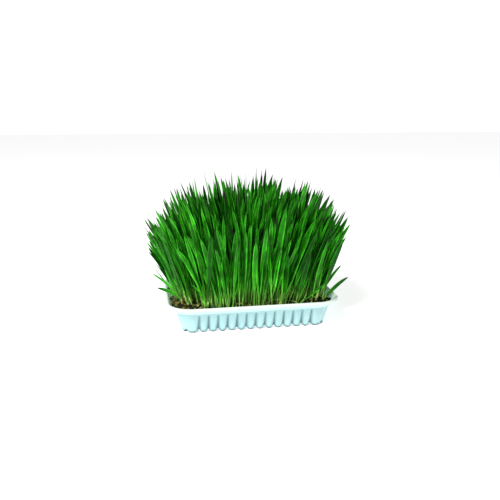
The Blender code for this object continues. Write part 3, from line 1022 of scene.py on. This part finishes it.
# %% Leaf material
DEEP_GREENS = (
    (0.00, (0.36, 0.52, 0.16)),
    (0.10, (0.16, 0.44, 0.060)),
    (0.26, (0.022, 0.20, 0.008)),
    (0.55, (0.006, 0.100, 0.002)),
    (1.00, (0.004, 0.070, 0.001)),
)
BRIGHT_GREENS = (
    (0.00, (0.54, 0.74, 0.28)),
    (0.12, (0.32, 0.72, 0.13)),
    (0.32, (0.110, 0.58, 0.038)),
    (0.70, (0.055, 0.46, 0.018)),
    (1.00, (0.060, 0.42, 0.022)),
)
DRIED = (0.022, 0.016, 0.018)
DRY_FROM = (1.14, 1.26)  # share of the length, with what dryness and mottling add to it
VEIN_STRETCH = (1.0, 0.04, 1.0)


def make_leaf():
    material, tree, where = start_finish("leaf_green", 0.20)
    on_blade = add_node(tree, "UVMap", uv_map="blade").outputs["UV"]
    across, along, _ = add_node(tree, "SeparateXYZ", {"Vector": on_blade}).outputs
    deep, bright = add_ramp(tree, along, DEEP_GREENS), add_ramp(tree, along, BRIGHT_GREENS)
    green = mix_colour(tree, read_layer_value(tree, "tone"), deep, bright)
    mottle = noise_at(tree, where, scale=70.0, detail=4.0, roughness=0.6)
    wave = {"Vector": stretched(tree, on_blade, VEIN_STRETCH), "Scale": 1.6, "Distortion": 0.6, "Detail": 1.0}
    veins = add_node(tree, "TexWave", wave).outputs["Fac"]
    off_rib = calculate(tree, "ABSOLUTE", calculate(tree, "SUBTRACT", across, 0.5))
    mottled = map_range(tree, mottle, (0.35, 0.65), (0.55, 1.20))
    veined = map_range(tree, veins, target=(0.80, 1.08))
    # Painted highlight: the margins are painted up to nearly twice as light, and the middle a little darker.
    margins = map_range(tree, off_rib, (0.22, 0.43), (0.85, 1.9))
    for shade in (mottled, veined, margins):
        green = mix_colour(tree, 1.0, green, shade, "MULTIPLY")
    ragged = calculate(tree, "MULTIPLY_ADD", mottle, 0.20, along)
    drier = calculate(tree, "MULTIPLY_ADD", read_layer_value(tree, "dry"), 0.22, ragged)
    tipped = mix_colour(tree, map_range(tree, drier, DRY_FROM), green, DRIED)
    gloss = map_range(tree, mottle, target=(0.38, 0.60))
    end_finish(tree, tipped, gloss, veins, strength=0.25, distance=0.0002)
    return material


# %% [markdown]
# ## The rows of grass
# The grass could be one piece, but that would have very many faces, and 45 tufts would be many small pieces.
# So it is grown row by row, as the tufts stand. A row has the finer copies of its tufts' blades and the
# seedlings whose roots are nearest to it. A few blades are placed one by one, where the photograph shows them
# apart from the rest.

# %% The rows
TUFTS_IN_ROW = (8, 7)


def row_of(y, middles):
    """The row whose middle is nearest."""
    return min(range(len(middles)), key=lambda row: abs(middles[row] - y))


def split_rows():
    """The tufts' names row by row, from the front, as they were planted."""
    rows, first = [], 0
    while first < len(tuft_names):
        count = TUFTS_IN_ROW[len(rows) % 2]
        rows.append(tuft_names[first:first + count])
        first += count
    return rows


def mean_y(names):
    roots = [knots[0][1].y for name in names for knots in tuft_blades[name]]
    return sum(roots) / len(roots)


rows_of_tufts = split_rows()
row_middles = [mean_y(names) for names in rows_of_tufts]
print("rows at", [round(1000 * y) for y in row_middles], "mm")

# %% Blades placed one by one
# Those that hang out at the ends: where the root stands, where the tip hangs, and half the width.
STRAYS = (
    ((-0.0800, -0.0440), (-0.1120, -0.0470, 0.0685), 0.0013),
    ((-0.0800, -0.0400), (-0.1070, -0.0480, 0.0520), 0.0019),
    ((0.0780, -0.0300), (0.0940, -0.0400, 0.0700), 0.0018),
    ((0.0790, -0.0380), (0.1010, -0.0440, 0.0670), 0.0014),
)
STRAY_BOW = 0.0025
STRAY_TURN = 1.15  # radians round its own length, so that its face shows from the front
# Thin dry blades that stand out of the top: where their tips are.
DRY_TIPS = (
    (-0.0370, 0.0000, 0.1690), (0.0020, 0.0200, 0.1690), (0.0210, 0.0200, 0.1710), (0.0180, 0.0380, 0.1722),
    (0.0380, 0.0100, 0.1610), (0.0600, 0.0100, 0.1600), (0.0720, 0.0200, 0.1590), (0.0840, 0.0300, 0.1540),
    (0.0940, 0.0200, 0.1480), (0.1000, 0.0000, 0.1430), (-0.0950, 0.0000, 0.1430),
    (-0.1180, -0.0100, 0.1220), (-0.0120, 0.0000, 0.1630), (-0.1120, -0.0200, 0.1080),
)
DRY_TIP_WIDTH = 0.0011
DRY_TIP_TONE, DRY_TIP_DRYNESS = 0.3, 1.6
ROOT_FROM_TIP = 0.62  # how far from the middle a dry blade's root is, as a share of its tip's distance


def stray_knots(root, tip, half):
    """A low blade from its root to its tip, bowed upwards between them."""
    start = Vector((*root, soil_height(*root) - ROOT_DEPTH))
    way = Vector(tip) - start
    level = way.cross(Vector((0.0, 0.0, 1.0))).normalized()
    upward = level.cross(way).normalized()
    across = Matrix.Rotation(STRAY_TURN, 3, way) @ level
    face = across.cross(way).normalized()
    knots = []
    for share in KNOT_SHARES:
        point = start + way * share + upward * STRAY_BOW * math.sin(math.pi * share)
        knots.append((share, point, across, face, half))
    return knots


# %% How dry and how slim a blade is
DRY_SHARE = 0.10  # of the blades, the part that have a dry tip
MAIN_SLIM = (0.66, 0.88)  # at the left end, and from the middle on
LEFT_END, LEFT_RUN = -0.055, 0.045
LOW_TIP_Z = 0.082
LOW_SLIM = 0.6  # of a main blade whose tip is lower than that, on top of the slimness of its place


def draw_dryness(draw):
    return draw.random() if draw.random() < DRY_SHARE else 0.0


def slimness(knots):
    """How wide a main blade is, as a share of the plain model's: slimmer at the left, and if it hangs low."""
    place = min(1.0, max(0.0, (knots[0][1].x - LEFT_END) / LEFT_RUN))
    return blend(*MAIN_SLIM, place) * (LOW_SLIM if knots[-1][1].z < LOW_TIP_Z else 1.0)


# %% Grow each row
leaf = make_leaf()
tones = random.Random(SEED + 1)
for number, names in enumerate(rows_of_tufts):
    bm = start_growth()
    for name in names:
        for knots in tuft_blades[name]:
            grow(bm, blade_form, knots, tones.random(), draw_dryness(tones), slimness(knots))
    for knots, withered in seedlings:
        if row_of(knots[0][1].y, row_middles) == number:
            grow(bm, blade_form, knots, tones.random(), 1.0 if withered else draw_dryness(tones))
    if number == 0:
        for root, tip, half in STRAYS:
            grow(bm, blade_form, stray_knots(root, tip, half), tones.random(), tones.random())
    for tip in DRY_TIPS:
        root = (tip[0] * ROOT_FROM_TIP, tip[1] * ROOT_FROM_TIP)
        if row_of(root[1], row_middles) == number:
            grow(bm, blade_form, stray_knots(root, tip, DRY_TIP_WIDTH), DRY_TIP_TONE, DRY_TIP_DRYNESS)
    finish_piece(f"grass_row_{number + 1}", bm, leaf, names)

# %% [markdown]
# ## Sheaths
# Each seedling comes up through a pale sheath, a short split tube that hugs the foot of the stem. A plain
# cone would hide how the blade comes out of it. So it is a ring drawn up, turned in at a slanted mouth and
# drawn down again, and has a wall like a real one. The main blades get one each, set along the stem.

# %% One sheath
SHEATH_SIDES = 7
SHEATH_RINGS = ((1.08, 0.45), (1.22, 1.0), (1.02, 0.97), (0.86, 0.45), (0.80, 0.06))  # radius and height
SHEATH_SLANT = 0.22
SHEATH_HEIGHT = (0.008, 0.016)
STEM_SHARE = 0.29  # of a blade's width, where it is still a stem
SHEATH_FIT = 1.12  # its width, as a share of the stem's
SHEATH_SINK = 0.5  # how far its foot is above the root, as a share of the root's depth


def draw_ring(bm, ring, radius, z):
    """Extrudes a ring of edges and moves the new one to this radius and height."""
    grown = bmesh.ops.extrude_edge_only(bm, edges=ring)["geom"]
    for vert in (item for item in grown if isinstance(item, bmesh.types.BMVert)):
        flat = Vector((vert.co.x, vert.co.y)).normalized() * radius
        vert.co = (flat.x, flat.y, z + SHEATH_SLANT * flat.x * z)
    return [item for item in grown if isinstance(item, bmesh.types.BMEdge)]


def keep_form(name, bm):
    """Keeps a bmesh as a mesh that other pieces are copied from."""
    bmesh.ops.recalc_face_normals(bm, faces=bm.faces)
    mesh = bpy.data.meshes.new(name)
    bm.to_mesh(mesh)
    bm.free()
    print(name, "has", len(mesh.polygons), "faces")
    return mesh


def make_sheath():
    bm = bmesh.new()
    bmesh.ops.create_circle(bm, segments=SHEATH_SIDES, radius=1.0, cap_ends=True)
    ring = list(bm.edges)
    for radius, z in SHEATH_RINGS:
        ring = draw_ring(bm, ring, radius, z)
    bmesh.ops.contextual_create(bm, geom=ring)
    return keep_form("sheath_form", bm)


sheath_form = make_sheath()


# %% Set a copy down
def set_down(bm, form, place, size, turn, tone):
    """Adds one copy of a form: scaled, turned and set down in its place."""
    known = len(bm.verts)
    bm.from_mesh(form)
    bm.verts.ensure_lookup_table()
    fit = Matrix.Translation(place) @ turn.to_matrix().to_4x4() @ Matrix.Diagonal((*size, 1.0))
    tone_layer = bm.verts.layers.float["tone"]
    for vert in bm.verts[known:]:
        vert.co = fit @ vert.co
        vert[tone_layer] = tone


# %% A finish for sheaths, grains, husks and roots
FIBRE_STRETCH = (1.0, 1.0, 0.25)
FIBRE_GLOSS = 0.12  # how far the fibres shift the roughness either way


def make_dry_finish(name, dark, light, speck, roughness):
    """A fibrous finish between two colours, lighter or darker from copy to copy, with a few specks."""
    material, tree, where = start_finish(name, 0.3)
    fibres = noise_at(tree, stretched(tree, where, FIBRE_STRETCH), scale=900.0, detail=5.0, roughness=0.65)
    shift = calculate(tree, "MULTIPLY_ADD", read_layer_value(tree, "tone"), 0.45, fibres)
    body = add_ramp(tree, shift, [(0.40, dark), (0.95, light)])
    spots = noise_at(tree, where, scale=1400.0, detail=2.0)
    colour = mix_colour(tree, map_range(tree, spots, (0.62, 0.70)), body, speck)
    rough = map_range(tree, fibres, target=(roughness - FIBRE_GLOSS, roughness + FIBRE_GLOSS))
    end_finish(tree, colour, rough, fibres, strength=0.4, distance=0.0003)
    return material


# %% Sheath every main blade
SHEATH_GREENS = ((0.14, 0.38, 0.05), (0.46, 0.72, 0.22), (0.44, 0.50, 0.20))  # dark, light and specks

sheath_green = make_dry_finish("sheath_green", *SHEATH_GREENS, roughness=0.5)
draw = random.Random(SEED + 2)
sheaths = start_growth()
for knots in main_blades:
    up_stem = (knots[1][1] - knots[0][1]).normalized()
    radius = half_width(knots) * STEM_SHARE * SHEATH_FIT
    foot = knots[0][1] + up_stem * ROOT_DEPTH * SHEATH_SINK
    turn = up_stem.to_track_quat("Z", "X") @ Quaternion((0, 0, 1), draw.uniform(0, 2 * math.pi))
    size = (radius, radius, draw.uniform(*SHEATH_HEIGHT))
    set_down(sheaths, sheath_form, foot, size, turn, draw.random())
finish_piece("leaf_sheaths", sheaths, sheath_green)

# %% [markdown]
# ## Crumbs and lumps
# Potting mix isn't a smooth skin. Loose crumbs lie on it, and the heap at the left end is mostly lumps.
# Displacing the bed alone would leave it a skin. So one crumb is an icosphere whose points are pushed in and
# out by noise. Copies of it, each scaled and turned at random, are scattered over the bed, most thickly on
# the heaps, and some lie out on the tray's flare.

# %% Where loose things lie
CRUMBS = 1900
LUMPS = 150
ON_HEAPS = 0.42  # of the crumbs
HEAP_SPREAD = 0.50  # of a heap's radius
FARTHEST_OUT = 0.0045  # past the bed's edge, on the flare
ON_FLARE = SHELL * 1.4  # above the line of the flare's outer side
BED_SHARE = 0.98  # of the way out, within which loose things lie
FLARE_SLOPE = (RIM_Z - WALL_TOP) / (RIM_FLARE - WALL_FLARE)


def past_edge(x, y):
    """How far a place is past the bed's rounded edge. It is negative inside."""
    out_x = max(abs(x) - bed_long + BED_CORNER, 0.0)
    out_y = max(abs(y) - bed_wide + BED_CORNER, 0.0)
    return math.hypot(out_x, out_y) - BED_CORNER


def ground(x, y):
    """The height of what a loose thing lies on: the bed or, past its edge, the tray's flare."""
    past = past_edge(x, y)
    if past < 0:
        return soil_height(x, y) + crumbly(x, y)
    return WALL_TOP + (BED_FLARE + past - WALL_FLARE) * FLARE_SLOPE + ON_FLARE


def bed_place(draw):
    """A place anywhere on the bed."""
    return bed_point(draw.uniform(-BED_SHARE, BED_SHARE), draw.uniform(-BED_SHARE, BED_SHARE))


def heap_place(draw):
    """A place on a heap, more often near its top and on the larger heaps."""
    while True:
        heap_x, heap_y, radius, _ = draw.choices(HEAPS, [heap[3] for heap in HEAPS])[0]
        x, y = draw.gauss(heap_x, radius * HEAP_SPREAD), draw.gauss(heap_y, radius * HEAP_SPREAD)
        if past_edge(x, y) < FARTHEST_OUT:
            return x, y


def loose_places(draw, count, on_heaps):
    """Places one by one, this share of them on the heaps."""
    for _ in range(count):
        yield heap_place(draw) if draw.random() < on_heaps else bed_place(draw)


def any_turn(draw):
    """A turn to any side."""
    return Euler([draw.uniform(0, 2 * math.pi) for _ in range(3)]).to_quaternion()


# %% A crumb
CRUMB_SIZE = (0.0004, 0.0012, 0.0006)
LUMP_SIZE = (0.0010, 0.0027, 0.0015)
CRUMB_SQUASH = (0.6, 1.0)
CRUMB_DENTS = 0.55
CRUMB_DENT_SCALE = 1.7
CRUMB_DENT_PLACE = Vector((3.1, 0.4, 5.0))  # where the noise is read
CRUMB_LIFT, LUMP_LIFT = 0.4, 0.1  # of the middle above the ground, as a share of the size


def make_crumb(name, subdivisions):
    bm = bmesh.new()
    bmesh.ops.create_icosphere(bm, subdivisions=subdivisions, radius=1.0)
    for vert in bm.verts:
        vert.co *= 1 + CRUMB_DENTS * noise.noise(vert.co * CRUMB_DENT_SCALE + CRUMB_DENT_PLACE)
    return keep_form(name, bm)


def drop_crumb(bm, draw, form, sizes, place, lift):
    """One crumb or lump, lifted by this share of its size."""
    x, y = place
    size = draw.triangular(*sizes)
    shape = [size * draw.uniform(*CRUMB_SQUASH) for _ in range(3)]
    z = ground(x, y) + size * lift
    set_down(bm, form, Vector((x, y, z)), shape, any_turn(draw), draw.random())


# %% Scatter the crumbs and lumps
CRUMB_BROWNS = ((0.008, 0.010, 0.002), (0.078, 0.076, 0.020), (0.26, 0.26, 0.09))  # dark, light and grit

crumb_form = make_crumb("crumb_form", 1)
lump_form = make_crumb("lump_form", 2)
crumb_brown = make_soil_finish("crumb_brown", *CRUMB_BROWNS)
draw = random.Random(SEED + 3)
crumbs = start_growth()
for place in loose_places(draw, CRUMBS, ON_HEAPS):
    drop_crumb(crumbs, draw, crumb_form, CRUMB_SIZE, place, CRUMB_LIFT)
for _ in range(LUMPS):
    drop_crumb(crumbs, draw, lump_form, LUMP_SIZE, heap_place(draw), LUMP_LIFT)
finish_piece("soil_crumbs", crumbs, crumb_brown)

# %% [markdown]
# ## Seed grains and husks
# Every blade came from a wheat grain, and many grains still lie on the bed, half sunk, with the
# straw-coloured husks that came off them. Both could be lathed, but a grain is creased along one side only.
# So a grain is a stretched ball with a crease pressed into its upper side, and a husk is half such a ball,
# cut off with a plane and given a thin wall.

# %% Shape them
GRAINS = 260
HUSKS = 190
GRAINS_ON_HEAPS, HUSKS_ON_HEAPS = 0.25, 0.45
GRAIN_SIZE = (0.0031, 0.0015, 0.0014)
HUSK_SIZE = (0.0033, 0.0014, 0.0011)
HUSK_WALL = 0.12
HUSK_CUT = 0.1  # how high the ball is cut, as a share of its radius
CREASE_WIDTH = 0.28
CREASE_DEPTH = 0.45


def long_ball():
    """A ball with its poles at the ends of X."""
    bm = bmesh.new()
    bmesh.ops.create_uvsphere(bm, u_segments=8, v_segments=6, radius=1.0)
    bmesh.ops.rotate(bm, verts=bm.verts, cent=(0, 0, 0), matrix=Matrix.Rotation(math.pi / 2, 3, "Y"))
    return bm


def make_grain():
    bm = long_ball()
    for vert in bm.verts:
        if vert.co.z > 0:
            vert.co.z *= 1 - CREASE_DEPTH * math.exp(-((vert.co.y / CREASE_WIDTH) ** 2))
    return keep_form("grain_form", bm)


def make_husk():
    bm = long_ball()
    everything = list(bm.verts) + list(bm.edges) + list(bm.faces)
    level = {"plane_co": (0, 0, HUSK_CUT), "plane_no": (0, 0, 1)}
    bmesh.ops.bisect_plane(bm, geom=everything, clear_outer=True, **level)
    bmesh.ops.solidify(bm, geom=list(bm.faces), thickness=HUSK_WALL)
    return keep_form("husk_form", bm)


grain_form = make_grain()
husk_form = make_husk()

# %% Scatter them
FLAT_TILT = 0.45  # radians, the most that a grain or husk leans
FLAT_SPIN = (0, 7)  # radians, a full turn and a little more
FLAT_SCALE = (0.8, 1.15)
GRAIN_LIFT, HUSK_LIFT = 0.3, 0.7  # of the middle above the ground, as a share of its height
GRAIN_TANS = ((0.10, 0.080, 0.018), (0.32, 0.29, 0.08), (0.06, 0.05, 0.02))  # dark, light and specks
HUSK_STRAWS = ((0.22, 0.22, 0.06), (0.62, 0.66, 0.26), (0.20, 0.16, 0.05))

grain_tan = make_dry_finish("grain_tan", *GRAIN_TANS, roughness=0.55)
husk_straw = make_dry_finish("husk_straw", *HUSK_STRAWS, roughness=0.6)


def drop_flat(bm, draw, form, size, place, lift):
    """A grain or husk that lies on the bed, turned any way and leaning a little."""
    x, y = place
    scale = draw.uniform(*FLAT_SCALE)
    lean, roll = draw.uniform(-FLAT_TILT, FLAT_TILT), draw.uniform(-FLAT_TILT, FLAT_TILT)
    turn = Euler((lean, roll, draw.uniform(*FLAT_SPIN)))
    place = Vector((x, y, ground(x, y) + lift * size[2]))
    set_down(bm, form, place, [scale * side for side in size], turn.to_quaternion(), draw.random())


draw = random.Random(SEED + 4)
grains = start_growth()
for place in loose_places(draw, GRAINS, GRAINS_ON_HEAPS):
    drop_flat(grains, draw, grain_form, GRAIN_SIZE, place, GRAIN_LIFT)
finish_piece("seed_grains", grains, grain_tan)
husks = start_growth()
for place in loose_places(draw, HUSKS, HUSKS_ON_HEAPS):
    drop_flat(husks, draw, husk_form, HUSK_SIZE, place, HUSK_LIFT)
finish_piece("seed_husks", husks, husk_straw)

# %% [markdown]
# ## Fine roots and bent shoots
# White roots run over the crowded bed, and here and there a pale shoot has bent over instead of growing up.
# One of these makes a low arch at the front, right of the middle. Curves could draw them, but the templates
# are at hand and taper. A root's copy is bent along a line that wanders over the ground, and a shoot's
# along an arch.

# %% Roots and shoots
ROOTS = 190
ROOT_LENGTH = (0.008, 0.024)
ROOT_WIDTH = 0.0003
ROOT_WANDER = 0.9
SHOOTS = 22
SHOOT_LENGTH = (0.014, 0.034)
SHOOT_RISE = (0.003, 0.009)
SHOOT_WIDTH = 0.0007
SHOOT_EDGE = 0.022  # from the bed's edge inwards, where shoots have bent over
FRONT_ARCH = ((0.0100, -0.0520), (0.0360, -0.0530), 0.0062)  # its two ends and its rise
FRONT_ARCH_WIDTH = SHOOT_WIDTH * 1.25
FRONT_ARCH_TONE = 0.8
ARCH_FULLNESS = 0.7  # 1 is a plain bow, and less is rounder
LINE_STEPS = 7


def line_knots(points, half):
    """Knots along a line of points, with a level direction across it."""
    knots = []
    last = len(points) - 1
    for i, point in enumerate(points):
        way = points[min(i + 1, last)] - points[max(i - 1, 0)]
        across = way.cross(Vector((0.0, 0.0, 1.0))).normalized()
        knots.append((i / last, point, across, across.cross(way).normalized(), half))
    return knots


# %% Lines over the bed
def wander(draw, length):
    """A line over the bed that turns a little at each step and stays inside the bed's edge."""
    x, y = bed_place(draw)
    heading = draw.uniform(0, 2 * math.pi)
    points = []
    for _ in range(LINE_STEPS):
        points.append(Vector((x, y, ground(x, y) + ROOT_WIDTH)))
        heading += draw.gauss(0, ROOT_WANDER)
        step = Vector((math.cos(heading), math.sin(heading))) * length / LINE_STEPS
        if past_edge(x + step.x, y + step.y) > 0:
            heading += math.pi
            step = -step
        x, y = x + step.x, y + step.y
    return points


def arch_points(start, end, rise):
    """A bow from one place on the bed to another."""
    one = Vector((*start, ground(*start) - ROOT_DEPTH / 2))
    other = Vector((*end, ground(*end)))
    points = [one.lerp(other, i / (LINE_STEPS - 1)) for i in range(LINE_STEPS)]
    for i, point in enumerate(points):
        point.z += rise * math.sin(math.pi * i / (LINE_STEPS - 1)) ** ARCH_FULLNESS
    return points


# %% Grow the roots
ROOT_CREAMS = ((0.42, 0.36, 0.22), (0.82, 0.78, 0.62), (0.30, 0.20, 0.10))  # dark, light and specks

draw = random.Random(SEED + 5)
root_cream = make_dry_finish("root_cream", *ROOT_CREAMS, roughness=0.6)
roots = start_growth()
for _ in range(ROOTS):
    knots = line_knots(wander(draw, draw.uniform(*ROOT_LENGTH)), ROOT_WIDTH)
    grow(roots, root_form, knots, draw.random())
finish_piece("fine_roots", roots, root_cream)

# %% Grow the shoots
SHOOT_GREENS = ((0.25, 0.40, 0.08), (0.62, 0.74, 0.34), (0.50, 0.46, 0.22))  # dark, light and specks

shoot_pale = make_dry_finish("shoot_pale", *SHOOT_GREENS, roughness=0.5)
shoots = start_growth()
grow(shoots, shoot_form, line_knots(arch_points(*FRONT_ARCH), FRONT_ARCH_WIDTH), FRONT_ARCH_TONE)
while len(shoots.verts) < SHOOTS * len(shoot_form["mesh"].vertices):
    start, heading = bed_place(draw), draw.uniform(0, 2 * math.pi)
    reach = draw.uniform(*SHOOT_LENGTH)
    end = (start[0] + reach * math.cos(heading), start[1] + reach * math.sin(heading))
    if past_edge(*end) < 0 and past_edge(*start) > -SHOOT_EDGE:
        points = arch_points(start, end, draw.uniform(*SHOOT_RISE))
        grow(shoots, shoot_form, line_knots(points, SHOOT_WIDTH), draw.random())
finish_piece("bent_shoots", shoots, shoot_pale)
